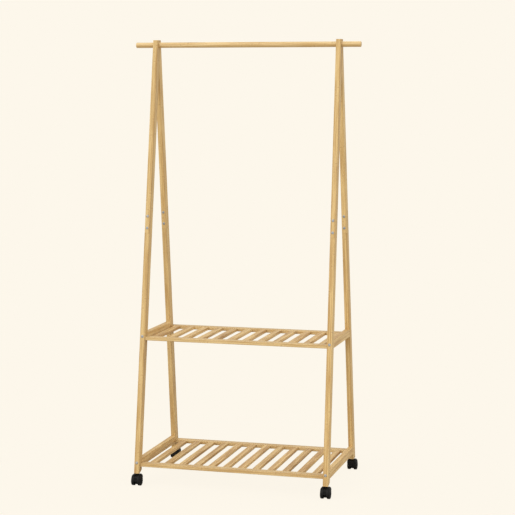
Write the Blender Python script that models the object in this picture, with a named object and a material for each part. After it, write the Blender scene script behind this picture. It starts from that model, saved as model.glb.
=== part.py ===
"""Rolling clothes rack in bamboo: two A-frames, a hanging rod, two slatted shelves and four swivel casters.

Units are metres, +Z is up, X runs along the rod (right is +X) and the front is -Y.
The origin is on the floor under the middle of the rack.
"""

from math import cos, pi, radians, sin

import bmesh
import bpy
from mathutils import Matrix, Vector

# ---------------------------------------------------------------- driving dimensions
GAP = 0.0003                    # air left between pieces that touch

HEIGHT = 1.580                  # floor to the top of the legs
ROD_LENGTH = 0.845
ROD_DIAMETER = 0.020
ROD_HEIGHT = 1.5618             # axis of the rod above the floor
ROD_END_CHAMFER = 0.0012

FRAME_INNER = 0.3345            # centre plane to the inner face of each A-frame
LEG_THICKNESS = 0.018           # along X
LEG_DEPTH = 0.0316              # level cut through a leg, along Y
LEG_TOP_OFFSET = 0.0015         # leg centreline from the middle plane at the top
LEG_FOOT_OFFSET = 0.2019        # and at the foot
LEG_FOOT_HEIGHT = 0.043
LEG_EASED_EDGE = 0.0014
FOOT_RELIEF_DEPTH = 0.0195      # sloped relief on the inner side of each front foot
FOOT_RELIEF_HEIGHT = 0.0095
FOOT_RELIEF_BEND = (0.36, 0.40)  # where the relief turns steeper, as shares of its depth and height
HALVING_BOTTOM = 1.40           # below this height the two legs of a frame are clear of each other

SPLICE_MIDDLE = 0.9225          # each leg is two pieces, halved together here
SPLICE_LENGTH = 0.080

RAIL_HEIGHT = 0.028             # side rails stand between the legs of a frame
STRIP_WIDTH = 0.030             # front and back strips of a shelf
STRIP_THICKNESS = 0.012
SLAT_WIDTH = 0.023
SLAT_THICKNESS = 0.0105
SLAT_COUNT = 12
SLAT_DROP = 0.0008              # slat tops below the strip tops
BOARD_EASED_EDGE = 0.0012

# name, depth of the shelf, bottom of its side rails, bottom of its strips, pitch of its slats
SHELVES = (
    ("upper", 0.306, 0.5015, 0.5038, 0.0560),
    ("lower", 0.410, 0.0620, 0.0648, 0.0540),
)

CASTER_TRAIL = 0.0085           # swivel axis to wheel axle, level
WHEEL_RADIUS = 0.0165
WHEEL_WIDTH = 0.0105
WHEEL_SIDES = 24
WHEEL_EASED_EDGE = 0.0016
WHEEL_RIM = 0.0042              # width of the raised rim around the recessed face
WHEEL_RECESS = 0.0012
WHEEL_HUB_RADIUS = 0.0054
AXLE_RADIUS = 0.0030
AXLE_LENGTH = 0.0316
WEB_WIDTH = 0.0120              # middle wall of the hood, between the wheels
WEB_RADIUS = 0.0125
HOOD_WIDTH = 0.0342
HOOD_RADIUS = 0.0195
HOOD_CROWN = 0.0395             # top of the hood above the floor
HOOD_CORNER = 0.0042            # rounding of the two outer rims
HOOD_TRAILING_CORNER = 0.0100
HOOD_SHOULDER = -0.0020         # where the flat crown turns into the round end
HOOD_SKIRT_ANGLE = radians(8)   # how far the hood reaches below the axle
POCKET_RADIUS = 0.0177
BOSS_RADIUS = 0.0045
BOSS_TOP = 0.0424
BOSS_ROOT = 0.0020              # how far the boss starts below the crown
STEM_RADIUS = 0.0035
STEM_BOTTOM = 0.0285
STEM_TOP = 0.0700
BRAKE_WIDTH = 0.0118
BRAKE_INNER = 0.0112            # the brake lever is a ring sector around the axle
BRAKE_OUTER = 0.0208
BRAKE_START = radians(112)
BRAKE_END = radians(176)
BRAKE_SLOT_INNER = 0.0082       # the slot in the hood leaves room to press the lever
BRAKE_SLOT_OUTER = 0.0300
BRAKE_SLOT_START = radians(106)
BRAKE_SLOT_END = radians(200)
BRAKE_PIVOT_ANGLE = radians(122)
BRAKE_PIVOT_RADIUS = 0.0160

ROUND_SIDES = 32
STEM_SIDES = 20
AXLE_SIDES = 16
BOSS_SIDES = 24
PAST_THE_PIECE = 0.020          # how far a cutter reaches past what it cuts
FRAME_MIDDLE = FRAME_INNER + LEG_THICKNESS / 2
LEG_LEAN = (LEG_FOOT_OFFSET - LEG_TOP_OFFSET) / (HEIGHT - LEG_FOOT_HEIGHT)
AXLE_HEIGHT = WHEEL_RADIUS * cos(pi / WHEEL_SIDES)

SHARP_ANGLE = radians(35)       # round pieces are shaded smooth below this angle
SIDES = (("left", -1), ("right", 1))
ENDS = (("front", -1), ("rear", 1))


# ---------------------------------------------------------------- materials
def make_material(name, colour, roughness, metallic=0.0):
    """Return a Principled BSDF material with a plain colour."""
    material = bpy.data.materials.new(name)
    material.use_nodes = True
    shader = material.node_tree.nodes["Principled BSDF"]
    shader.inputs["Base Color"].default_value = (*colour, 1.0)
    shader.inputs["Roughness"].default_value = roughness
    shader.inputs["Metallic"].default_value = metallic
    return material


# ---------------------------------------------------------------- small modelling tools
def add_object(name, mesh, material, smooth=False):
    """Link a mesh to the scene as an object with one material."""
    piece = bpy.data.objects.new(name, mesh)
    bpy.context.scene.collection.objects.link(piece)
    mesh.materials.append(material)
    if smooth:
        mesh.shade_smooth()
        mesh.set_sharp_from_angle(angle=SHARP_ANGLE)
    return piece


def prism_mesh(name, outline, x_from, x_to, eased=0.0, eased_longer_than=0.0, segments=1):
    """Extrude a closed (y, z) outline along X; edges longer than a length can be eased."""
    shape = bmesh.new()
    base = [shape.verts.new((x_from, y, z)) for y, z in outline]
    face = shape.faces.new(base)
    grown = bmesh.ops.extrude_face_region(shape, geom=[face])
    moved = [item for item in grown["geom"] if isinstance(item, bmesh.types.BMVert)]
    bmesh.ops.translate(shape, verts=moved, vec=(x_to - x_from, 0.0, 0.0))
    bmesh.ops.recalc_face_normals(shape, faces=shape.faces)
    if eased:
        chosen = [edge for edge in shape.edges if edge.calc_length() > eased_longer_than]
        bmesh.ops.bevel(shape, geom=chosen, offset=eased, segments=segments, profile=0.5, affect="EDGES")
    mesh = bpy.data.meshes.new(name)
    shape.to_mesh(mesh)
    shape.free()
    return mesh


def turned_mesh(name, outline, sides):
    """Spin a closed (radius, x) outline around the X axis, with a flat facet facing down."""
    shape = bmesh.new()
    ring = [shape.verts.new((x, 0.0, -radius)) for radius, x in outline]
    edges = [shape.edges.new((ring[i - 1], ring[i])) for i in range(len(ring))]
    bmesh.ops.spin(shape, geom=ring + edges, cent=(0, 0, 0), axis=(1, 0, 0), angle=2 * pi, steps=sides)
    bmesh.ops.remove_doubles(shape, verts=shape.verts, dist=0.000001)
    bmesh.ops.rotate(shape, verts=shape.verts, cent=(0, 0, 0), matrix=Matrix.Rotation(pi / sides, 3, "X"))
    bmesh.ops.recalc_face_normals(shape, faces=shape.faces)
    mesh = bpy.data.meshes.new(name)
    shape.to_mesh(mesh)
    shape.free()
    return mesh


def box_outline(y_from, y_to, z_from, z_to):
    """Return the four (y, z) corners of a box."""
    return [(y_from, z_from), (y_to, z_from), (y_to, z_to), (y_from, z_to)]


def arc(centre, radii, start, end, steps):
    """Return points of an elliptical arc in the YZ plane."""
    points = []
    for step in range(steps + 1):
        angle = start + (end - start) * step / steps
        points.append((centre[0] + radii[0] * cos(angle), centre[1] + radii[1] * sin(angle)))
    return points


def make_cutter(name, mesh, location=(0.0, 0.0, 0.0)):
    """Add a helper object that is cut from, or joined to, a piece."""
    cutter = bpy.data.objects.new(name, mesh)
    bpy.context.scene.collection.objects.link(cutter)
    cutter.location = location
    return cutter


def cylinder_mesh(name, radius, length, axis, sides=ROUND_SIDES):
    """Return a cylinder centred on the origin, along X or Z."""
    shape = bmesh.new()
    bmesh.ops.create_cone(
        shape, cap_ends=True, segments=sides, radius1=radius, radius2=radius, depth=length
    )
    if axis == "X":
        bmesh.ops.rotate(shape, verts=shape.verts, cent=(0, 0, 0), matrix=Matrix.Rotation(pi / 2, 3, "Y"))
    mesh = bpy.data.meshes.new(name)
    shape.to_mesh(mesh)
    shape.free()
    return mesh


def combine(piece, helpers):
    """Apply each (operation, helper) pair to the piece, then remove the helpers."""
    for operation, helper in helpers:
        boolean = piece.modifiers.new(operation.lower(), "BOOLEAN")
        boolean.operation = operation
        boolean.solver = "EXACT"
        boolean.object = helper
    bpy.context.view_layer.update()
    evaluated = piece.evaluated_get(bpy.context.evaluated_depsgraph_get())
    result = bpy.data.meshes.new_from_object(evaluated)
    piece.modifiers.clear()
    piece.data = result
    for _, helper in helpers:
        bpy.data.objects.remove(helper)


def place(piece, location, parent=None):
    """Set where a piece sits, in its parent's frame."""
    piece.location = location
    piece.parent = parent


# ---------------------------------------------------------------- legs
def leg_middle(z):
    """Distance of a leg's centreline from the middle plane, at height z."""
    return LEG_TOP_OFFSET + LEG_LEAN * (HEIGHT - z)


def leg_point(end, part, z, extra=0.0):
    """A (y, z) point of a leg: part is -1 at its -Y face, 0 in the middle and 1 at its +Y face."""
    return (end * leg_middle(z) + part * (LEG_DEPTH / 2 + extra), z)


def splice_step(end, part, z, shift):
    """A point of the halved splice, moved along Y by half the gap."""
    y, height = leg_point(end, part, z)
    return (y + shift, height)


def upper_leg_outline(end):
    """The upper piece keeps the -Y half of the leg along the splice."""
    bottom = SPLICE_MIDDLE - SPLICE_LENGTH / 2 + GAP / 2
    shoulder = SPLICE_MIDDLE + SPLICE_LENGTH / 2 + GAP / 2
    return [
        leg_point(end, -1, HEIGHT),
        leg_point(end, -1, bottom),
        splice_step(end, 0, bottom, -GAP / 2),
        splice_step(end, 0, shoulder, -GAP / 2),
        leg_point(end, 1, shoulder),
        leg_point(end, 1, HEIGHT),
    ]


def lower_leg_outline(end):
    """The lower piece keeps the +Y half along the splice; the front feet are relieved on their inner side."""
    shoulder = SPLICE_MIDDLE - SPLICE_LENGTH / 2 - GAP / 2
    top = SPLICE_MIDDLE + SPLICE_LENGTH / 2 - GAP / 2
    front_edge = leg_point(end, -1, LEG_FOOT_HEIGHT)
    back_edge = leg_point(end, 1, LEG_FOOT_HEIGHT)
    foot = [front_edge, back_edge]
    if end < 0:
        bend_y = back_edge[0] - FOOT_RELIEF_DEPTH * FOOT_RELIEF_BEND[0]
        bend_z = LEG_FOOT_HEIGHT + FOOT_RELIEF_HEIGHT * FOOT_RELIEF_BEND[1]
        foot = [
            front_edge,
            (back_edge[0] - FOOT_RELIEF_DEPTH, LEG_FOOT_HEIGHT),
            (bend_y, bend_z),
            leg_point(end, 1, LEG_FOOT_HEIGHT + FOOT_RELIEF_HEIGHT),
        ]
    return [
        leg_point(end, -1, shoulder),
        *foot,
        leg_point(end, 1, top),
        splice_step(end, 0, top, GAP / 2),
        splice_step(end, 0, shoulder, GAP / 2),
    ]


def halving_cutter(end, side):
    """The slot that one leg of a frame leaves in the other: front legs keep +X, rear legs keep -X."""
    other = -end
    outline = [
        leg_point(other, -1, HALVING_BOTTOM, GAP),
        leg_point(other, 1, HALVING_BOTTOM, GAP),
        leg_point(other, 1, HEIGHT + PAST_THE_PIECE, GAP),
        leg_point(other, -1, HEIGHT + PAST_THE_PIECE, GAP),
    ]
    middle = side * FRAME_MIDDLE
    if end < 0:
        mesh = prism_mesh("halving", outline, middle - LEG_THICKNESS, middle + GAP / 2)
    else:
        mesh = prism_mesh("halving", outline, middle - GAP / 2, middle + LEG_THICKNESS)
    return make_cutter("halving", mesh)


def make_leg(end_name, end, side_name, side, material):
    """One leg: an upper piece drilled for the rod and a lower piece drilled for the caster stem."""
    x_from = side * FRAME_MIDDLE - LEG_THICKNESS / 2
    x_to = side * FRAME_MIDDLE + LEG_THICKNESS / 2
    name = f"{end_name}_{side_name}_leg"

    mesh = prism_mesh(f"{name}_upper", upper_leg_outline(end), x_from, x_to, LEG_EASED_EDGE, 0.5)
    upper = add_object(f"{name}_upper", mesh, material)
    rod_bore = cylinder_mesh("rod_bore", ROD_DIAMETER / 2 + GAP, LEG_THICKNESS + 2 * PAST_THE_PIECE, "X")
    rod_hole = make_cutter("rod_hole", rod_bore, (side * FRAME_MIDDLE, 0.0, ROD_HEIGHT))
    combine(upper, [("DIFFERENCE", halving_cutter(end, side)), ("DIFFERENCE", rod_hole)])

    mesh = prism_mesh(f"{name}_lower", lower_leg_outline(end), x_from, x_to, LEG_EASED_EDGE, 0.5)
    lower = add_object(f"{name}_lower", mesh, material)
    bore_length = 2 * (STEM_TOP + GAP - LEG_FOOT_HEIGHT)
    stem_bore = cylinder_mesh("stem_bore", STEM_RADIUS + GAP, bore_length, "Z", STEM_SIDES)
    stem_hole = make_cutter(
        "stem_hole", stem_bore, (side * FRAME_MIDDLE, end * LEG_FOOT_OFFSET, LEG_FOOT_HEIGHT)
    )
    combine(lower, [("DIFFERENCE", stem_hole)])


# ---------------------------------------------------------------- rod
def make_rod(material):
    """The hanging rod passes through both A-frames."""
    shape = bmesh.new()
    bmesh.ops.create_cone(
        shape, cap_ends=True, segments=ROUND_SIDES, radius1=ROD_DIAMETER / 2,
        radius2=ROD_DIAMETER / 2, depth=ROD_LENGTH,
    )
    bmesh.ops.rotate(shape, verts=shape.verts, cent=(0, 0, 0), matrix=Matrix.Rotation(pi / 2, 3, "Y"))
    rims = [edge for edge in shape.edges if abs(edge.verts[0].co.x - edge.verts[1].co.x) < 0.001]
    bmesh.ops.bevel(shape, geom=rims, offset=ROD_END_CHAMFER, segments=1, affect="EDGES")
    mesh = bpy.data.meshes.new("hanging_rod")
    shape.to_mesh(mesh)
    shape.free()
    rod = add_object("hanging_rod", mesh, material, smooth=True)
    place(rod, (0.0, 0.0, ROD_HEIGHT))


# ---------------------------------------------------------------- shelves
def rail_outline(bottom):
    """A side rail fits between the sloping inner faces of its frame's legs."""
    top = bottom + RAIL_HEIGHT
    reach_bottom = leg_middle(bottom) - LEG_DEPTH / 2 - GAP
    reach_top = leg_middle(top) - LEG_DEPTH / 2 - GAP
    return [(-reach_bottom, bottom), (reach_bottom, bottom), (reach_top, top), (-reach_top, top)]


def make_rails(shelf, bottom, material):
    """The two side rails of a shelf."""
    for side_name, side in SIDES:
        x_from = side * FRAME_MIDDLE - LEG_THICKNESS / 2
        name = f"{shelf}_shelf_{side_name}_rail"
        mesh = prism_mesh(name, rail_outline(bottom), x_from, x_from + LEG_THICKNESS, BOARD_EASED_EDGE, 0.1)
        add_object(name, mesh, material)


def make_strips(shelf, depth, bottom, material):
    """The front and back strips of a shelf, between the two A-frames."""
    reach = FRAME_INNER - GAP
    outline = box_outline(-STRIP_WIDTH / 2, STRIP_WIDTH / 2, 0.0, STRIP_THICKNESS)
    for end_name, end in ENDS:
        name = f"{shelf}_shelf_{end_name}_strip"
        mesh = prism_mesh(name, outline, -reach, reach, BOARD_EASED_EDGE, 0.1)
        strip = add_object(name, mesh, material)
        place(strip, (0.0, end * (depth - STRIP_WIDTH) / 2, bottom))


def make_slats(shelf, depth, strip_bottom, pitch, material):
    """The slats run from the front strip to the back strip."""
    reach = depth / 2 - STRIP_WIDTH - GAP
    top = strip_bottom + STRIP_THICKNESS - SLAT_DROP
    outline = box_outline(-reach, reach, top - SLAT_THICKNESS, top)
    for number in range(SLAT_COUNT):
        middle = (number - (SLAT_COUNT - 1) / 2) * pitch
        name = f"{shelf}_shelf_slat_{number + 1:02d}"
        mesh = prism_mesh(name, outline, -SLAT_WIDTH / 2, SLAT_WIDTH / 2, BOARD_EASED_EDGE, 0.1)
        slat = add_object(name, mesh, material)
        place(slat, (middle, 0.0, 0.0))


# ---------------------------------------------------------------- casters
def hood_outline():
    """The hood from the side, around the axle: a flat crown over the stem and a round trailing end."""
    crown = HOOD_CROWN - AXLE_HEIGHT
    corner = HOOD_TRAILING_CORNER
    skirt_y = HOOD_RADIUS * cos(HOOD_SKIRT_ANGLE)
    skirt_z = -HOOD_RADIUS * sin(HOOD_SKIRT_ANGLE)
    points = [(skirt_y, skirt_z)]
    points += arc((HOOD_RADIUS - corner, crown - corner), (corner, corner), 0.0, pi / 2, 5)
    points += arc((HOOD_SHOULDER, 0.0), (HOOD_RADIUS + HOOD_SHOULDER, crown), pi / 2, pi, 9)
    points.append((-skirt_y, skirt_z))
    return points


def ring_sector(inner, outer, start, end, steps=8):
    """Outline of a ring sector around the axle."""
    return arc((0, 0), (outer, outer), start, end, steps) + arc((0, 0), (inner, inner), end, start, steps)


def hood_base_mesh(name):
    """The solid hood with its two outer rims rounded."""
    outline = hood_outline()
    half = HOOD_WIDTH / 2
    shape = bmesh.new()
    base = [shape.verts.new((-half, y, z)) for y, z in outline]
    face = shape.faces.new(base)
    grown = bmesh.ops.extrude_face_region(shape, geom=[face])
    moved = [item for item in grown["geom"] if isinstance(item, bmesh.types.BMVert)]
    bmesh.ops.translate(shape, verts=moved, vec=(HOOD_WIDTH, 0.0, 0.0))
    bmesh.ops.recalc_face_normals(shape, faces=shape.faces)
    skirt = -HOOD_RADIUS * sin(HOOD_SKIRT_ANGLE) + 0.0001
    rims = []
    for edge in shape.edges:
        first, second = edge.verts
        level = first.co.x == second.co.x
        if level and max(first.co.z, second.co.z) > skirt:
            rims.append(edge)
    bmesh.ops.bevel(shape, geom=rims, offset=HOOD_CORNER, segments=3, profile=0.5, affect="EDGES")
    mesh = bpy.data.meshes.new(name)
    shape.to_mesh(mesh)
    shape.free()
    return mesh


def make_hood(name, swivel, braked, material):
    """The hood turns on the stem; its middle web carries the axle between the two wheels."""
    hood = add_object(name, hood_base_mesh(name), material, smooth=True)
    axle = (0.0, -CASTER_TRAIL, AXLE_HEIGHT)
    place(hood, axle)
    helpers = []
    for side in (-1, 1):
        pocket = cylinder_mesh("pocket", POCKET_RADIUS, HOOD_WIDTH, "X")
        pocket_x = side * (WEB_WIDTH + HOOD_WIDTH) / 2
        helpers.append(("DIFFERENCE", make_cutter("pocket", pocket, (pocket_x, axle[1], axle[2]))))
    web = cylinder_mesh("web", WEB_RADIUS, WEB_WIDTH - GAP, "X")
    helpers.append(("UNION", make_cutter("web", web, axle)))
    if braked:
        slot_outline = ring_sector(BRAKE_SLOT_INNER, BRAKE_SLOT_OUTER, BRAKE_SLOT_START, BRAKE_SLOT_END)
        slot = prism_mesh("slot", slot_outline, -BRAKE_WIDTH / 2 - GAP, BRAKE_WIDTH / 2 + GAP)
        helpers.append(("DIFFERENCE", make_cutter("slot", slot, axle)))
    axle_pin = cylinder_mesh("axle_pin", AXLE_RADIUS, AXLE_LENGTH, "X", AXLE_SIDES)
    helpers.append(("UNION", make_cutter("axle_pin", axle_pin, axle)))
    boss_bottom = HOOD_CROWN - BOSS_ROOT
    boss = cylinder_mesh("boss", BOSS_RADIUS, BOSS_TOP - boss_bottom, "Z", BOSS_SIDES)
    helpers.append(("UNION", make_cutter("boss", boss, (0, 0, (BOSS_TOP + boss_bottom) / 2))))
    bore_bottom = STEM_BOTTOM - GAP
    bore_length = BOSS_TOP - bore_bottom + PAST_THE_PIECE
    bore = cylinder_mesh("bore", STEM_RADIUS + GAP, bore_length, "Z", STEM_SIDES)
    helpers.append(("DIFFERENCE", make_cutter("bore", bore, (0, 0, bore_bottom + bore_length / 2))))
    combine(hood, helpers)
    hood.data.transform(Matrix.Translation(Vector(axle)))
    place(hood, (0.0, 0.0, 0.0), swivel)


def wheel_outline():
    """Half section of a wheel as (radius, x): a bored hub, a recessed face and a rounded tread."""
    inner = WEB_WIDTH / 2 + GAP
    outer = inner + WHEEL_WIDTH
    bore = AXLE_RADIUS + GAP
    return [
        (bore, inner),
        (WHEEL_RADIUS - WHEEL_EASED_EDGE, inner),
        (WHEEL_RADIUS, inner + WHEEL_EASED_EDGE),
        (WHEEL_RADIUS, outer - WHEEL_EASED_EDGE),
        (WHEEL_RADIUS - WHEEL_EASED_EDGE, outer),
        (WHEEL_RADIUS - WHEEL_RIM, outer),
        (WHEEL_RADIUS - WHEEL_RIM - WHEEL_RECESS, outer - WHEEL_RECESS),
        (WHEEL_HUB_RADIUS + WHEEL_RECESS, outer - WHEEL_RECESS),
        (WHEEL_HUB_RADIUS, outer),
        (bore, outer),
    ]


def make_wheels(name, swivel, turned, material):
    """Two wheels that spin freely on the axle, named for the side they face in the rack."""
    for side_name, side in SIDES:
        local_side = -side if turned else side
        outline = [(radius, local_side * x) for radius, x in wheel_outline()]
        mesh = turned_mesh(f"{name}_wheel_{side_name}", outline, WHEEL_SIDES)
        wheel = add_object(f"{name}_wheel_{side_name}", mesh, material, smooth=True)
        place(wheel, (0.0, -CASTER_TRAIL, AXLE_HEIGHT), swivel)


def make_brake(name, swivel, material):
    """The brake lever tips about a pin near the top of the hood; its tail is pressed down."""
    pivot_y = BRAKE_PIVOT_RADIUS * cos(BRAKE_PIVOT_ANGLE)
    pivot_z = BRAKE_PIVOT_RADIUS * sin(BRAKE_PIVOT_ANGLE)
    outline = []
    for y, z in ring_sector(BRAKE_INNER, BRAKE_OUTER, BRAKE_START, BRAKE_END):
        outline.append((y - pivot_y, z - pivot_z))
    mesh = prism_mesh(name, outline, -BRAKE_WIDTH / 2, BRAKE_WIDTH / 2)
    brake = add_object(name, mesh, material)
    place(brake, (0.0, -CASTER_TRAIL + pivot_y, AXLE_HEIGHT + pivot_z), swivel)


def make_caster(end_name, end, side_name, side, materials):
    """One twin-wheel caster: the stem is fixed in the leg, the rest swivels about it."""
    name = f"{end_name}_{side_name}_caster"
    axis = (side * FRAME_MIDDLE, end * LEG_FOOT_OFFSET, 0.0)
    swivel = bpy.data.objects.new(f"{name}_swivel_axis", None)
    bpy.context.scene.collection.objects.link(swivel)
    swivel.location = axis
    swivel.rotation_euler = (0.0, 0.0, pi if end > 0 else 0.0)

    stem_mesh = cylinder_mesh(f"{name}_stem", STEM_RADIUS, STEM_TOP - STEM_BOTTOM, "Z", STEM_SIDES)
    stem = add_object(f"{name}_stem", stem_mesh, materials["steel"], smooth=True)
    place(stem, (axis[0], axis[1], (STEM_TOP + STEM_BOTTOM) / 2))

    braked = end < 0
    make_hood(f"{name}_hood", swivel, braked, materials["hood"])
    make_wheels(name, swivel, end > 0, materials["wheel"])
    if braked:
        make_brake(f"{name}_brake", swivel, materials["hood"])


# ---------------------------------------------------------------- the rack
def main():
    for old in list(bpy.data.objects):
        bpy.data.objects.remove(old)
    materials = {
        "leg": make_material("bamboo_leg", (0.60, 0.41, 0.19), 0.50),
        "rod": make_material("bamboo_rod", (0.68, 0.48, 0.24), 0.42),
        "slat": make_material("bamboo_slat", (0.56, 0.38, 0.18), 0.50),
        "hood": make_material("black_nylon", (0.018, 0.018, 0.017), 0.45),
        "wheel": make_material("black_wheel", (0.014, 0.014, 0.013), 0.60),
        "steel": make_material("steel_stem", (0.55, 0.56, 0.58), 0.35, 1.0),
    }
    make_rod(materials["rod"])
    for end_name, end in ENDS:
        for side_name, side in SIDES:
            make_leg(end_name, end, side_name, side, materials["leg"])
            make_caster(end_name, end, side_name, side, materials)
    for shelf, depth, rail_bottom, strip_bottom, pitch in SHELVES:
        make_rails(shelf, rail_bottom, materials["leg"])
        make_strips(shelf, depth, strip_bottom, materials["slat"])
        make_slats(shelf, depth, strip_bottom, pitch, materials["slat"])


main()
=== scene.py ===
"""Looks for the bamboo rolling clothes rack: grain, eased edges, bolt heads, casters and the studio."""

from math import atan, cos, pi, radians, sin, tau
from random import Random

import bmesh
import bpy
from mathutils import Matrix, Vector


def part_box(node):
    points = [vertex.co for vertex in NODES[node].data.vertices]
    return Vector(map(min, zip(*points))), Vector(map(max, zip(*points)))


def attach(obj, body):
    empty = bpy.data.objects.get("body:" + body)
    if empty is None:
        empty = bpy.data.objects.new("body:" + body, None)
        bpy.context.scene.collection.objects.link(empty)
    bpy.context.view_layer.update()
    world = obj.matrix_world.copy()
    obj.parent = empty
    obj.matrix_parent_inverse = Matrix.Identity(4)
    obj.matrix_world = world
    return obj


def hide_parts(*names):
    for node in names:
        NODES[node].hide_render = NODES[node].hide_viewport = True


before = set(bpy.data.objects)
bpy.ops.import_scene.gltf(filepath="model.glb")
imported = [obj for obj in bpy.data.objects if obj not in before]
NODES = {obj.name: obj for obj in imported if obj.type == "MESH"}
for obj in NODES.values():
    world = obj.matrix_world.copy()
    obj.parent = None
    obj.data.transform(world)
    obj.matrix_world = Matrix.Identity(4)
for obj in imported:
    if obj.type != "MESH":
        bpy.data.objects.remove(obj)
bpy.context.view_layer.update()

# ---------------------------------------------------------------- driving dimensions, in metres
AIR = 0.0003                    # gap that touching pieces keep
MERGE = 0.000001                # corners of one mesh closer than this are one corner

BOARD_ROUNDING = 0.0005         # extra rounding over the chamfered edges of the boards
BOARD_WELD = 0.00001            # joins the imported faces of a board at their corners
ROD_END_ROUNDING = 0.0022

LAMINATION_WIDTH = 0.0062       # bamboo is glued up from strips of this width
LAMINATION_DEPTH = 0.0190
SEAM_WIDTH = 0.00022            # half width of the glue line between two strips
KNUCKLE_SPACING = 0.27          # distance between the growth rings of one bamboo strip
KNUCKLE_RING = (0.0004, 0.0030)  # the dark ring fades out between these distances from its middle
KNUCKLE_EDGE = (0.0030, 0.0130)  # and the pale band around it between these
GRAIN_RUN = 3.0                 # boards are cut at random places from a grain this long each way

BOLT_HEAD_RADIUS = 0.0050
BOLT_HEAD_HEIGHT = 0.0016
BOLT_RIM_HEIGHT = 0.35 * BOLT_HEAD_HEIGHT
BOLT_SOCKET_RADIUS = 0.0023
BOLT_SOCKET_DEPTH = 0.0010
SPLICE_BOLT_HEIGHTS = (0.901, 0.943)
SHELF_BOLT_HEIGHTS = (0.0795, 0.518)

HOOD_RADIUS = 0.0195
HOOD_CROWN = 0.0395
HOOD_CORNER = 0.0068            # rounding of the two outer rims
HOOD_TRAILING_CORNER = 0.0100
HOOD_SHOULDER = -0.0020         # where the flat crown turns into the round end
HOOD_SKIRT_ANGLE = radians(8)
WEB_WIDTH = 0.0120
WEB_RADIUS = 0.0125
POCKET_RADIUS = 0.0176
AXLE_RADIUS = 0.0030
AXLE_INSET = 0.0013             # from the outer face of the hood to the end of the axle
BOSS_RADIUS = 0.0045
BOSS_ROOT = 0.0020
BORE_OVERSHOOT = 0.0050         # how far the stem's bore is cut past the top of the boss

TREAD_ROUNDING = 0.0018
HUB_CHAMFER = 0.0004
WHEEL_FACE = (                  # the dished outer face: shares of the radius, and depths below the rim
    (0.80, 0.0),
    (0.77, 0.0009),
    (0.48, 0.0013),
    (0.45, 0.0004),
    (0.40, 0.0),
)

BRAKE_WIDTH = 0.0118
BRAKE_INNER = 0.0112
BRAKE_OUTER = 0.0208
BRAKE_START = radians(112)
BRAKE_END = radians(176)
BRAKE_SLOT_INNER = 0.0082
BRAKE_SLOT_OUTER = 0.0300
BRAKE_SLOT_START = radians(106)
BRAKE_SLOT_END = radians(200)
BRAKE_RIDGES = 5
BRAKE_RIDGE_DEPTH = 0.0009
BRAKE_GRIP_START = radians(140)

# sides of round pieces, and the angles in degrees above which their edges stay sharp
FINE_SIDES = 96
PLAIN_SIDES = 48
HEXAGON = 6
ROD_CREASE = 35
BOLT_CREASE = 40
HOOD_CREASE = 32
BRAKE_CREASE = 32
WHEEL_CREASE = 28
BOARD_CREASE = 30

ENDS = (("front", -1), ("rear", 1))
SIDES = (("left", -1), ("right", 1))

# ---------------------------------------------------------------- studio
FLOOR_SIZE = 60.0
SHADOW_SHARE = 0.05             # how much of the floor's look takes shadow, next to the rack
SHADOW_REACH = (0.30, 0.95)     # the share fades out between these distances from the middle
FLOOR_BOUNCE = (0.58, 0.56, 0.53, 1.0)
AMBIENT = 0.72
SOFTBOX_COLOUR = (1.0, 0.99, 0.97)

CAMERA_PLACE = (1.6088, -5.442, 1.442)
CAMERA_TILT = radians(90 - 0.063)
CAMERA_TURN = radians(15.05)
CAMERA_SENSOR = 36.0            # sensor and lens in millimetres
CAMERA_LENS = 109.79
CAMERA_SHIFT = (-0.0549, -0.3454)


# ---------------------------------------------------------------- colours
def linear(red, green, blue):
    """Turn 0-255 display colours into the linear values that shaders use."""
    channels = []
    for value in (red, green, blue):
        share = value / 255
        channels.append(share / 12.92 if share <= 0.04045 else ((share + 0.055) / 1.055) ** 2.4)
    return (*channels, 1.0)


CREAM = linear(253, 247, 235)

# dark and light grain of each kind of board
TONES = {
    "leg": (linear(186, 149, 93), linear(220, 189, 131)),
    "rail": (linear(194, 154, 96), linear(226, 193, 133)),
    "strip": (linear(191, 155, 101), linear(222, 193, 139)),
    "slat": (linear(180, 138, 82), linear(229, 196, 135)),
    "rod": (linear(202, 166, 109), linear(229, 201, 149)),
}
BRIGHTNESS_SPREAD = {
    "leg": (0.99, 1.01),
    "rail": (0.97, 1.03),
    "strip": (0.98, 1.02),
    "slat": (0.94, 1.05),
}
LEG_TONE_AND_PAINTED_LIGHT = {              # legs painted lighter or darker than the rest: the upper rear legs carry painted light that lifts the shade where the front legs cross them; the others are only a little lighter or darker
    "front_right_leg_upper": 1.04,
    "front_right_leg_lower": 1.04,
    "rear_left_leg_upper": 1.05,
    "rear_left_leg_lower": 0.96,
    "rear_right_leg_upper": 1.07,
    "rear_right_leg_lower": 1.02,
}
DARK_PATCH = linear(168, 122, 68)
PORE = linear(150, 110, 64)
KNUCKLE = linear(150, 106, 60)
KNUCKLE_HALO = linear(230, 202, 148)

# darkest and lightest of each moulded or plated finish
HOOD_BLACK = (linear(13, 13, 12), linear(19, 19, 18))
WHEEL_BLACK = (linear(15, 15, 14), linear(29, 28, 26))
ZINC = (linear(158, 158, 157), linear(184, 183, 181))

# seeds that give every board its own grain and brightness
GRAIN_SEED = 300
BRIGHTNESS_SEED = 40
ROD_SEED = 77


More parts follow.
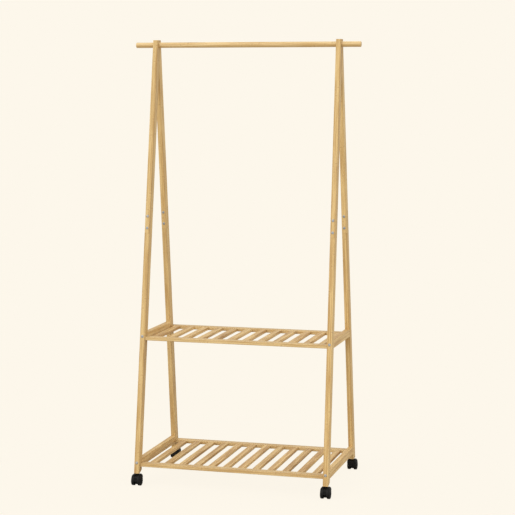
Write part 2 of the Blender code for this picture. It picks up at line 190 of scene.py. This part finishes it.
# ---------------------------------------------------------------- shader tools
class Graph:
    """A material's node graph, built with short calls."""

    def __init__(self, name):
        self.material = bpy.data.materials.new(name)
        self.material.use_nodes = True
        self.tree = self.material.node_tree
        self.shader = self.tree.nodes["Principled BSDF"]

    def add(self, kind, *values, **settings):
        """Add a node, set its properties, and feed its inputs in order with sockets or plain values."""
        made = self.tree.nodes.new("ShaderNode" + kind)
        for key, value in settings.items():
            setattr(made, key, value)
        for index, value in enumerate(values):
            self.feed(made.inputs[index], value)
        return made

    def feed(self, socket, value):
        """Link a socket, or set a plain value."""
        if isinstance(value, bpy.types.NodeSocket):
            self.tree.links.new(value, socket)
        else:
            socket.default_value = value

    def place(self):
        """Coordinates fixed to the piece, in metres."""
        return self.add("TexCoord").outputs["Object"]

    def math(self, operation, *values):
        return self.add("Math", *values, operation=operation).outputs[0]

    def scaled(self, value, gain, base):
        """A value times a gain, added to a base; both may be sockets."""
        return self.math("MULTIPLY_ADD", value, gain, base)

    def noise(self, vector, scale, detail, roughness=0.5):
        made = self.add("TexNoise", vector)
        made.inputs["Scale"].default_value = scale
        made.inputs["Detail"].default_value = detail
        made.inputs["Roughness"].default_value = roughness
        return made.outputs["Fac"]

    def grain(self, vector, across, along, detail=2.0, roughness=0.5):
        """Noise with so many features a metre across and along Z."""
        stretched = self.add("VectorMath", vector, (across, across, along), operation="MULTIPLY").outputs[0]
        return self.noise(stretched, 1.0, detail, roughness)

    def ramp(self, value, low, high):
        """Map a value so that low becomes 0 and high becomes 1, with smooth ends."""
        return self.add("MapRange", value, low, high, interpolation_type="SMOOTHSTEP").outputs[0]

    def near(self, value, inner, outer):
        """1 where a value is below inner, fading to 0 at outer."""
        return self.math("SUBTRACT", 1.0, self.ramp(value, inner, outer))

    def mix(self, factor, first, second):
        """Mix two colours."""
        made = self.add("Mix", data_type="RGBA")
        names = {socket.identifier: socket for socket in made.inputs}
        self.feed(names["Factor_Float"], factor)
        self.feed(names["A_Color"], first)
        self.feed(names["B_Color"], second)
        return made.outputs[2]

    def tint(self, over, colour, where, strength):
        """Lay a colour over another where a mask says, at a strength."""
        return self.mix(self.math("MULTIPLY", where, strength), over, colour)

    def bump(self, height, strength, distance):
        made = self.add("Bump")
        made.inputs["Strength"].default_value = strength
        made.inputs["Distance"].default_value = distance
        self.feed(made.inputs["Height"], height)
        self.feed(self.shader.inputs["Normal"], made.outputs[0])

    def finish(self, colour, roughness, **constants):
        """Feed the colour and roughness; constants are set on the shader itself."""
        self.feed(self.shader.inputs["Base Color"], colour)
        self.feed(self.shader.inputs["Roughness"], roughness)
        for key, value in constants.items():
            self.shader.inputs[key.replace("_", " ")].default_value = value
        return self.material


# ---------------------------------------------------------------- materials
def bamboo(name, turn, seed, dark, light):
    """Laminated bamboo whose grain runs along Z after the turn; every board has its own seed."""
    graph = Graph(name)
    chance = Random(seed + GRAIN_SEED)
    shift = tuple(chance.uniform(0.0, GRAIN_RUN) for _ in range(3))
    place = graph.add("Mapping", graph.place(), shift, turn).outputs[0]
    across, depth, along = graph.add("SeparateXYZ", place).outputs

    # each glued strip draws its own tone and its own place for the growth rings
    strip = graph.math("FLOOR", graph.math("DIVIDE", across, LAMINATION_WIDTH))
    layer = graph.math("FLOOR", graph.math("DIVIDE", depth, LAMINATION_DEPTH))
    cell = graph.add("CombineXYZ", strip, layer).outputs[0]
    luck = graph.add("TexWhiteNoise", cell, noise_dimensions="3D")
    strip_tone = graph.math("SUBTRACT", luck.outputs["Value"], 0.5)
    knuckle_shift = graph.add("SeparateColor", luck.outputs["Color"]).outputs[1]

    broad = graph.grain(place, across=70.0, along=8.0)
    streak = graph.grain(place, across=300.0, along=6.0, detail=4.0, roughness=0.6)
    fibre = graph.grain(place, across=1500.0, along=26.0)
    patch = graph.grain(place, across=120.0, along=11.0)

    blend = graph.scaled(broad, gain=0.32, base=graph.math("MULTIPLY", streak, 0.68))
    blend = graph.scaled(strip_tone, gain=0.10, base=blend)
    colour = graph.mix(graph.ramp(blend, low=0.36, high=0.62), dark, light)
    colour = graph.tint(colour, DARK_PATCH, where=graph.ramp(patch, low=0.62, high=0.78), strength=0.50)
    colour = graph.tint(colour, PORE, where=graph.ramp(fibre, low=0.56, high=0.74), strength=0.22)

    seam = graph.math("PINGPONG", across, LAMINATION_WIDTH / 2)
    colour = graph.tint(colour, KNUCKLE, where=graph.near(seam, 0.0, SEAM_WIDTH), strength=0.16)

    along_strip = graph.scaled(knuckle_shift, gain=KNUCKLE_SPACING, base=along)
    knuckle = graph.math("PINGPONG", along_strip, KNUCKLE_SPACING / 2)
    ring = graph.near(knuckle, *KNUCKLE_RING)
    colour = graph.tint(colour, KNUCKLE_HALO, where=graph.near(knuckle, *KNUCKLE_EDGE), strength=0.14)
    colour = graph.tint(colour, KNUCKLE, where=ring, strength=0.34)

    gloss = graph.scaled(streak, gain=0.14, base=0.40)
    height = graph.scaled(fibre, gain=-0.6, base=graph.math("MULTIPLY", ring, 0.5))
    graph.bump(height, strength=0.25, distance=0.0002)
    return graph.finish(colour, gloss, Specular_IOR_Level=0.22, Coat_Weight=0.03, Coat_Roughness=0.28)


def black_nylon():
    """Fine matt moulded nylon with a faint grain and rubbed high spots."""
    graph = Graph("black_nylon")
    grain = graph.noise(graph.place(), scale=2600.0, detail=2.0)
    wear = graph.noise(graph.place(), scale=90.0, detail=3.0)
    colour = graph.mix(graph.ramp(wear, low=0.35, high=0.75), *HOOD_BLACK)
    gloss = graph.scaled(grain, gain=0.16, base=0.44)
    graph.bump(grain, strength=0.30, distance=0.0001)
    return graph.finish(colour, gloss, Specular_IOR_Level=0.19)


def wheel_nylon():
    """Harder black nylon, dusty on the tread."""
    graph = Graph("wheel_nylon")
    grain = graph.noise(graph.place(), scale=1900.0, detail=2.0)
    dust = graph.noise(graph.place(), scale=260.0, detail=4.0, roughness=0.65)
    colour = graph.mix(graph.ramp(dust, low=0.48, high=0.80), *WHEEL_BLACK)
    gloss = graph.scaled(dust, gain=0.20, base=0.46)
    graph.bump(grain, strength=0.22, distance=0.0001)
    return graph.finish(colour, gloss, Specular_IOR_Level=0.19)


def zinc_steel():
    """Zinc-plated steel with fine turning marks."""
    graph = Graph("zinc_steel")
    cloud = graph.noise(graph.place(), scale=420.0, detail=3.0)
    marks = graph.grain(graph.place(), across=4200.0, along=600.0)
    colour = graph.mix(cloud, *ZINC)
    gloss = graph.scaled(marks, gain=0.20, base=0.46)
    graph.bump(marks, strength=0.10, distance=0.0001)
    return graph.finish(colour, gloss, Metallic=0.8)


def give_material(node, material):
    """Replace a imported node's materials with one."""
    NODES[node].data.materials.clear()
    NODES[node].data.materials.append(material)


# ---------------------------------------------------------------- mesh tools
def make_object(name, mesh, material):
    """Link a mesh as a piece with one material."""
    piece = bpy.data.objects.new(name, mesh)
    bpy.context.scene.collection.objects.link(piece)
    mesh.materials.clear()
    mesh.materials.append(material)
    return piece


def to_mesh(shape, name):
    """Turn a bmesh into a mesh with its faces pointing out."""
    bmesh.ops.recalc_face_normals(shape, faces=shape.faces)
    mesh = bpy.data.meshes.new(name)
    shape.to_mesh(mesh)
    shape.free()
    return mesh


def smooth(mesh, crease):
    """Shade smooth, with sharp edges above the crease angle in degrees."""
    mesh.shade_smooth()
    mesh.set_sharp_from_angle(angle=radians(crease))


def arc(centre, radii, start, end, steps):
    """Points of an elliptical arc around a centre, in the plane of any two axes."""
    points = []
    for step in range(steps + 1):
        angle = start + (end - start) * step / steps
        points.append((centre[0] + radii[0] * cos(angle), centre[1] + radii[1] * sin(angle)))
    return points


def round_arc(radius, start, end, steps):
    """Points of a circular arc around the origin."""
    return arc((0, 0), (radius, radius), start, end, steps)


def prism(name, outline, half_width, rounding=0.0, segments=1, keep_below=-1.0):
    """Extrude a (y, z) outline along X, and round its rims where they are above keep_below."""
    shape = bmesh.new()
    base = [shape.verts.new((-half_width, y, z)) for y, z in outline]
    grown = bmesh.ops.extrude_face_region(shape, geom=[shape.faces.new(base)])
    moved = [item for item in grown["geom"] if isinstance(item, bmesh.types.BMVert)]
    bmesh.ops.translate(shape, verts=moved, vec=(2 * half_width, 0, 0))
    bmesh.ops.recalc_face_normals(shape, faces=shape.faces)
    if rounding:
        rims = []
        for edge in shape.edges:
            first, second = edge.verts
            if first.co.x == second.co.x and max(first.co.z, second.co.z) > keep_below:
                rims.append(edge)
        bmesh.ops.bevel(shape, geom=rims, offset=rounding, segments=segments, profile=0.5, affect="EDGES")
    return to_mesh(shape, name)


def cylinder(name, radius, length, sides, along="X"):
    """A closed cylinder centred on the origin, along X or Z."""
    shape = bmesh.new()
    bmesh.ops.create_cone(shape, cap_ends=True, segments=sides, radius1=radius, radius2=radius, depth=length)
    if along == "X":
        bmesh.ops.rotate(shape, verts=shape.verts, cent=(0, 0, 0), matrix=Matrix.Rotation(pi / 2, 3, "Y"))
    return to_mesh(shape, name)


def lathe(name, outline, sides, closed):
    """Spin a (radius, x) outline around X; an open one starts and ends on the axis."""
    shape = bmesh.new()
    ring = [shape.verts.new((x, 0.0, radius)) for radius, x in outline]
    first = 0 if closed else 1
    edges = [shape.edges.new((ring[index - 1], ring[index])) for index in range(first, len(ring))]
    bmesh.ops.spin(shape, geom=ring + edges, cent=(0, 0, 0), axis=(1, 0, 0), angle=tau, steps=sides)
    bmesh.ops.remove_doubles(shape, verts=shape.verts, dist=MERGE)
    return to_mesh(shape, name)


def combine(mesh, steps):
    """Cut from or join to a mesh: steps are (operation, helper mesh, place)."""
    body = bpy.data.objects.new("combining", mesh)
    bpy.context.scene.collection.objects.link(body)
    helpers = []
    for operation, helper_mesh, place in steps:
        helper = bpy.data.objects.new("helper", helper_mesh)
        bpy.context.scene.collection.objects.link(helper)
        helper.location = place
        helpers.append(helper)
        boolean = body.modifiers.new(operation, "BOOLEAN")
        boolean.operation = operation
        boolean.solver = "EXACT"
        boolean.object = helper
    bpy.context.view_layer.update()
    done = bpy.data.meshes.new_from_object(body.evaluated_get(bpy.context.evaluated_depsgraph_get()))
    for extra in (body, *helpers):
        bpy.data.objects.remove(extra)
    return done


# ---------------------------------------------------------------- legs, as packed
class Legs:
    """Where the outer faces of the legs are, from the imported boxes."""

    def __init__(self):
        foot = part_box("front_left_leg_lower")[0]
        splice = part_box("front_left_leg_upper")[0]
        rail_low, rail_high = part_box("lower_shelf_left_rail")
        self.foot = foot
        self.slope = (splice.y - foot.y) / (splice.z - foot.z)
        self.depth = self.reach(rail_low.z) - rail_high.y - AIR

    def reach(self, height):
        """Distance from the middle plane to the outer face of a leg."""
        return -self.foot.y - self.slope * (height - self.foot.z)

    def seat(self, corner, end, height, facing):
        """The point at the middle of a leg's front (-1) or back (1) face, and its normal."""
        low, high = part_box(f"{corner}_leg_lower")
        reach = self.reach(height) - (0.0 if facing == end else self.depth)
        point = Vector(((low.x + high.x) / 2, end * reach, height))
        return point, Vector((0.0, facing, end * facing * self.slope)).normalized()


# ---------------------------------------------------------------- boards
def round_board(piece):
    """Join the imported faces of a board, and round its edges without touching its mesh."""
    weld = piece.modifiers.new("weld", "WELD")
    weld.merge_threshold = BOARD_WELD
    bevel = piece.modifiers.new("rounding", "BEVEL")
    bevel.width = BOARD_ROUNDING
    bevel.segments = 3
    bevel.limit_method = "ANGLE"
    bevel.angle_limit = radians(BOARD_CREASE)


def board_turn(name, slope):
    """Rotation that brings a board's grain onto Z."""
    if "leg" in name:
        return (atan(slope) if name.startswith("front") else -atan(slope), 0.0, 0.0)
    if "slat" in name:
        return (pi / 2, 0.0, 0.0)
    if "rail" in name:
        return (pi / 2, 0.0, pi / 2)
    return (0.0, pi / 2, pi / 2)


def dress_boards(legs):
    """Give each wooden CAD node its own bamboo, and round its edges."""
    boards = [name for name in sorted(NODES) if "caster" not in name and name != "hanging_rod"]
    for seed, name in enumerate(boards):
        kind = next(word for word in ("leg", "rail", "strip", "slat") if word in name)
        brightness = Random(seed + BRIGHTNESS_SEED).uniform(*BRIGHTNESS_SPREAD[kind])
        # some legs are painted lighter or darker; on the upper rear legs this is painted light against the
        # shade where the front legs cross them
        brightness *= LEG_TONE_AND_PAINTED_LIGHT.get(name, 1.0)
        dark, light = ([value * brightness for value in tone[:3]] + [1.0] for tone in TONES[kind])
        give_material(name, bamboo(f"bamboo_{name}", board_turn(name, legs.slope), seed, dark, light))
        round_board(NODES[name])


def make_rod():
    """The hanging rod with rounded end rims."""
    low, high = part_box("hanging_rod")
    radius = (high.z - low.z) / 2
    half = (high.x - low.x) / 2
    rim = round_arc(ROD_END_ROUNDING, 0, pi / 2, steps=8)
    right = [(radius - ROD_END_ROUNDING + rise, half - ROD_END_ROUNDING + run) for run, rise in rim]
    left = [(r, -x) for r, x in reversed(right)]
    mesh = lathe("rod", [(0.0, half), *right, *left, (0.0, -half)], FINE_SIDES, closed=False)
    smooth(mesh, ROD_CREASE)
    wood = bamboo("bamboo_rod", (0.0, pi / 2, pi / 2), ROD_SEED, *TONES["rod"])
    rod = make_object("rod", mesh, wood)
    rod.location = (low + high) / 2
    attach(rod, "rack")
    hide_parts("hanging_rod")


# ---------------------------------------------------------------- bolts
def bolt_mesh():
    """A low domed bolt head with a hexagon socket, its face towards +X."""
    dome_height = BOLT_HEAD_HEIGHT - BOLT_RIM_HEIGHT
    dome = arc((BOLT_RIM_HEIGHT, 0), (dome_height, BOLT_HEAD_RADIUS), pi / 2, 0.0, steps=10)
    outline = [(0.0, -AIR), (BOLT_HEAD_RADIUS, -AIR), *((radius, x) for x, radius in dome)]
    head = lathe("bolt_head", outline, PLAIN_SIDES, closed=False)
    socket = cylinder("socket", BOLT_SOCKET_RADIUS, 2 * BOLT_SOCKET_DEPTH, HEXAGON)
    mesh = combine(head, [("DIFFERENCE", socket, (BOLT_HEAD_HEIGHT, 0, 0))])
    smooth(mesh, BOLT_CREASE)
    return mesh


def make_bolts(legs, steel):
    """Bolt heads at the leg splices and where the legs hold the side rails."""
    mesh = bolt_mesh()
    for end_name, end in ENDS:
        for side_name, _ in SIDES:
            corner = f"{end_name}_{side_name}"
            rows = (("splice", SPLICE_BOLT_HEIGHTS, -1), ("shelf", SHELF_BOLT_HEIGHTS, end))
            for kind, heights, facing in rows:
                for number, height in enumerate(heights):
                    point, normal = legs.seat(corner, end, height, facing)
                    turn = normal.to_track_quat("X", "Z").to_matrix().to_4x4()
                    bolt = make_object(f"{corner}_{kind}_bolt_{number}", mesh, steel)
                    bolt.matrix_world = Matrix.Translation(point) @ turn
                    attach(bolt, "rack")


# ---------------------------------------------------------------- casters
def hood_outline(axle_height):
    """The hood from the side around the axle, trailing towards -Y."""
    crown = HOOD_CROWN - axle_height
    corner = HOOD_TRAILING_CORNER
    skirt_y = HOOD_RADIUS * cos(HOOD_SKIRT_ANGLE)
    skirt_z = -HOOD_RADIUS * sin(HOOD_SKIRT_ANGLE)
    points = [(skirt_y, skirt_z)]
    points += arc((HOOD_RADIUS - corner, crown - corner), (corner, corner), 0.0, pi / 2, steps=14)
    points += arc((HOOD_SHOULDER, 0.0), (HOOD_RADIUS + HOOD_SHOULDER, crown), pi / 2, pi, steps=28)
    points.append((-skirt_y, skirt_z))
    return points


def brake_slot():
    """Cutter for the slot that the brake lever tips in, a ring sector around the axle."""
    outline = round_arc(BRAKE_SLOT_OUTER, BRAKE_SLOT_START, BRAKE_SLOT_END, steps=24)
    outline += round_arc(BRAKE_SLOT_INNER, BRAKE_SLOT_END, BRAKE_SLOT_START, steps=24)
    return prism("slot", outline, BRAKE_WIDTH / 2 + AIR)


def hood_mesh(axle_height, trail, half_width, braked, boss_top, stem_radius, stem_bottom):
    """The moulded hood: a rounded shell over both wheels, a middle web, the axle and the bored stem boss."""
    skirt = -HOOD_RADIUS * sin(HOOD_SKIRT_ANGLE) + AIR / 2
    base = prism("hood", hood_outline(axle_height), half_width, HOOD_CORNER, segments=8, keep_below=skirt)
    steps = []
    for side in (-1, 1):
        pocket = cylinder("pocket", POCKET_RADIUS, 2 * half_width, FINE_SIDES)
        steps.append(("DIFFERENCE", pocket, (side * (WEB_WIDTH / 2 + half_width), 0, 0)))
    steps.append(("UNION", cylinder("web", WEB_RADIUS, WEB_WIDTH - AIR, FINE_SIDES), (0, 0, 0)))
    if braked:
        steps.append(("DIFFERENCE", brake_slot(), (0, 0, 0)))
    axle = cylinder("axle", AXLE_RADIUS, 2 * (half_width - AXLE_INSET), PLAIN_SIDES)
    steps.append(("UNION", axle, (0, 0, 0)))
    boss_length = boss_top - HOOD_CROWN + BOSS_ROOT
    boss_middle = boss_top - boss_length / 2 - axle_height
    boss = cylinder("boss", BOSS_RADIUS, boss_length, PLAIN_SIDES, "Z")
    steps.append(("UNION", boss, (0, trail, boss_middle)))
    bore_length = boss_top - stem_bottom + AIR + BORE_OVERSHOOT
    bore_middle = stem_bottom - AIR + bore_length / 2 - axle_height
    bore = cylinder("bore", stem_radius + AIR, bore_length, PLAIN_SIDES, "Z")
    steps.append(("DIFFERENCE", bore, (0, trail, bore_middle)))
    mesh = combine(base, steps)
    smooth(mesh, HOOD_CREASE)
    return mesh


def wheel_profile(inner, outer, radius):
    """Half section of a wheel as (radius, x): a rounded tread, a dished face and a hub cap."""
    bore = AXLE_RADIUS + AIR
    centre = radius - TREAD_ROUNDING
    quarter = round_arc(TREAD_ROUNDING, 0, pi / 2, steps=6)
    inner_tread = [(centre + rise, inner + TREAD_ROUNDING - run) for run, rise in quarter]
    outer_tread = [(centre + rise, outer - TREAD_ROUNDING + run) for run, rise in reversed(quarter)]
    face = [(radius * share, outer - depth) for share, depth in WHEEL_FACE]
    hub = [(bore + HUB_CHAMFER, outer), (bore, outer - HUB_CHAMFER)]
    return [(bore, inner), *inner_tread, *outer_tread, *face, *hub]


def make_wheel(node, body, side, material):
    """One wheel of a caster, in the place of its CAD node."""
    low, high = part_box(node)
    centre = (low + high) / 2
    width = high.x - low.x
    inner = WEB_WIDTH / 2 + AIR
    outline = wheel_profile(inner, inner + width, (high.y - low.y) / 2)
    mesh = lathe("wheel", [(radius, side * x) for radius, x in outline], FINE_SIDES, closed=True)
    smooth(mesh, WHEEL_CREASE)
    wheel = make_object(f"{node}_detailed", mesh, material)
    wheel.location = (centre.x - side * (inner + width / 2), centre.y, centre.z)
    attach(wheel, body)
    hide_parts(node)


def brake_outline():
    """The lever from the side: a ring sector with grip ridges over its tail."""
    steps = 80
    points = []
    for step in range(steps + 1):
        angle = BRAKE_START + (BRAKE_END - BRAKE_START) * step / steps
        grip = max(0.0, (angle - BRAKE_GRIP_START) / (BRAKE_END - BRAKE_GRIP_START))
        radius = BRAKE_OUTER - BRAKE_RIDGE_DEPTH * (0.5 - 0.5 * cos(tau * BRAKE_RIDGES * grip))
        points.append((radius * cos(angle), radius * sin(angle)))
    return points + round_arc(BRAKE_INNER, BRAKE_END, BRAKE_START, steps=24)


def make_brake(node, body, seat, material):
    """The brake lever, in the place of its CAD node."""
    mesh = prism("brake", brake_outline(), BRAKE_WIDTH / 2)
    smooth(mesh, BRAKE_CREASE)
    brake = make_object(f"{node}_detailed", mesh, material)
    brake.matrix_world = seat
    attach(brake, body)
    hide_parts(node)


def make_caster(name, end, materials):
    """Detailed hood, wheels and brake in the place of the plain ones."""
    stem_low, stem_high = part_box(f"{name}_stem")
    wheel_low, wheel_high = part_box(f"{name}_wheel_left")
    hood_low, hood_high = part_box(f"{name}_hood")
    stem = (stem_low + stem_high) / 2
    axle = Vector((stem.x, (wheel_low.y + wheel_high.y) / 2, (wheel_low.z + wheel_high.z) / 2))
    seat = Matrix.Translation(axle) @ Matrix.Rotation(pi if end > 0 else 0.0, 4, "Z")
    braked = f"{name}_brake" in NODES
    trail = abs(axle.y - stem.y)
    half_width = (hood_high.x - hood_low.x) / 2
    stem_radius = (stem_high.x - stem_low.x) / 2
    mesh = hood_mesh(axle.z, trail, half_width, braked, hood_high.z, stem_radius, stem_low.z)
    hood = make_object(f"{name}_hood_detailed", mesh, materials["hood"])
    hood.matrix_world = seat
    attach(hood, f"{name}_yoke")
    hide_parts(f"{name}_hood")
    for side_name, side in SIDES:
        make_wheel(f"{name}_wheel_{side_name}", f"{name}_{side_name}_wheel", side, materials["wheel"])
    if braked:
        make_brake(f"{name}_brake", f"{name}_brake_lever", seat, materials["hood"])
    give_material(f"{name}_stem", materials["steel"])


# ---------------------------------------------------------------- the studio's pieces
def make_floor():
    """A plain cream floor that takes a faint shadow near the rack."""
    graph = Graph("studio_floor")
    link = graph.tree.links.new
    distance = graph.add("VectorMath", graph.place(), operation="LENGTH").outputs["Value"]
    share = graph.math("MULTIPLY", graph.near(distance, *SHADOW_REACH), SHADOW_SHARE)
    seen = graph.add("MixShader", share)
    link(graph.add("Emission", CREAM, 1.0).outputs[0], seen.inputs[1])
    link(graph.add("BsdfDiffuse", CREAM).outputs[0], seen.inputs[2])
    choice = graph.add("MixShader", graph.add("LightPath").outputs["Is Camera Ray"])
    link(graph.add("BsdfDiffuse", FLOOR_BOUNCE).outputs[0], choice.inputs[1])
    link(seen.outputs[0], choice.inputs[2])
    link(choice.outputs[0], graph.tree.nodes["Material Output"].inputs[0])
    graph.tree.nodes.remove(graph.shader)
    shape = bmesh.new()
    bmesh.ops.create_grid(shape, x_segments=1, y_segments=1, size=FLOOR_SIZE)
    mesh = to_mesh(shape, "floor")
    mesh.materials.append(graph.material)
    floor = bpy.data.objects.new("floor", mesh)
    bpy.context.scene.collection.objects.link(floor)


def make_world():
    """Cream all round for the camera, and a softer even light for the rack."""
    world = bpy.data.worlds.new("studio")
    world.use_nodes = True
    nodes = world.node_tree.nodes
    link = world.node_tree.links.new
    backdrop = nodes["Background"]
    backdrop.inputs[0].default_value = CREAM
    ambient = nodes.new("ShaderNodeBackground")
    ambient.inputs[0].default_value = (*SOFTBOX_COLOUR, 1.0)
    ambient.inputs[1].default_value = AMBIENT
    choice = nodes.new("ShaderNodeMixShader")
    link(nodes.new("ShaderNodeLightPath").outputs["Is Camera Ray"], choice.inputs[0])
    link(ambient.outputs[0], choice.inputs[1])
    link(backdrop.outputs[0], choice.inputs[2])
    link(choice.outputs[0], nodes["World Output"].inputs[0])
    bpy.context.scene.world = world


def make_light(name, azimuth, elevation, spread, strength):
    """A broad, even light; azimuth 0 comes from -Y and 90 from +X, all in degrees."""
    light = bpy.data.lights.new(name, "SUN")
    light.angle = radians(spread)
    light.energy = strength
    light.color = SOFTBOX_COLOUR
    lamp = bpy.data.objects.new(name, light)
    bpy.context.scene.collection.objects.link(lamp)
    lamp.rotation_euler = (radians(90 - elevation), 0.0, radians(azimuth))


def make_camera():
    """A level camera to the right of the rack, whose picture is shifted down and aside to frame it."""
    camera = bpy.data.cameras.new("camera")
    camera.sensor_width = CAMERA_SENSOR
    camera.lens = CAMERA_LENS
    camera.shift_x, camera.shift_y = CAMERA_SHIFT
    eye = bpy.data.objects.new("camera", camera)
    bpy.context.scene.collection.objects.link(eye)
    eye.location = CAMERA_PLACE
    eye.rotation_euler = (CAMERA_TILT, 0.0, CAMERA_TURN)
    bpy.context.scene.camera = eye


def main():
    legs = Legs()
    dress_boards(legs)
    make_rod()
    materials = {"hood": black_nylon(), "wheel": wheel_nylon(), "steel": zinc_steel()}
    make_bolts(legs, materials["steel"])
    for end_name, end in ENDS:
        for side_name, _ in SIDES:
            make_caster(f"{end_name}_{side_name}_caster", end, materials)
    make_floor()
    make_world()
    make_light("key", azimuth=-28, elevation=34, spread=56, strength=1.45)
    make_light("fill", azimuth=78, elevation=30, spread=60, strength=0.68)
    make_camera()
    bpy.context.scene.view_settings.view_transform = "Standard"


main()
